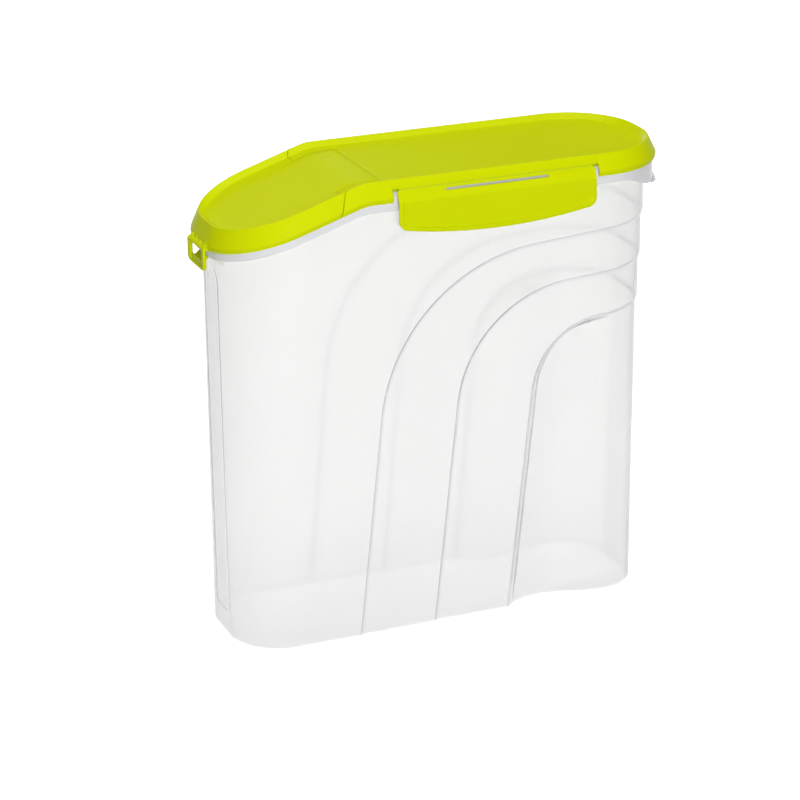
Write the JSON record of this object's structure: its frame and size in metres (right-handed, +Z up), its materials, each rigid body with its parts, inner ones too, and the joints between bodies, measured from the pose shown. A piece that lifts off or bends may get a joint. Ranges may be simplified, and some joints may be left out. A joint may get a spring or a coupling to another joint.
{
  "type": "cereal container with flip spout",
  "caption": "Tall narrow translucent dry-food container with a press-on lime lid, a flip-up pouring flap over the nose and a folding clip wing on each long side.",
  "frame": {"origin": "under the middle of the overall bounding box, on the surface the container stands on", "axes": "+X from the pouring nose to the rear, +Y to the far long side, +Z up"},
  "size_m": [0.265, 0.1, 0.26],
  "materials": {
    "translucent_polypropylene": "milky translucent, satin",
    "lime_polypropylene": "satin",
    "lime_film": "thin film, slightly paler than the lid"
  },
  "bodies": {
    "container": {"container": "translucent_polypropylene"},
    "lid": {"lid": "lime_polypropylene", "flap_hinge_film": "lime_film", "near_hinge_film": "lime_film", "far_hinge_film": "lime_film"},
    "flap": {"spout_flap": "lime_polypropylene", "nose_catch": "lime_polypropylene"},
    "near_wing": {"near_clip_wing": "lime_polypropylene"},
    "far_wing": {"far_clip_wing": "lime_polypropylene"}
  },
  "joints": [
    {"name": "lid_lift", "type": "slide", "parent": "container", "child": "lid", "axis": [0, 0, 1], "range_m": [0, 0.1]},
    {"name": "flap_hinge", "type": "hinge", "parent": "lid", "child": "flap", "pos_m": [-0.0402, 0, 0.2572], "axis": [0, 1, 0], "range_deg": [0, 150]},
    {"name": "near_wing_hinge", "type": "hinge", "parent": "lid", "child": "near_wing", "pos_m": [0.02035, -0.04612, 0.2544], "axis": [-1, 0, 0], "range_deg": [0, 110]},
    {"name": "far_wing_hinge", "type": "hinge", "parent": "lid", "child": "far_wing", "pos_m": [0.02035, 0.04612, 0.2544], "axis": [1, 0, 0], "range_deg": [0, 110]}
  ]
}
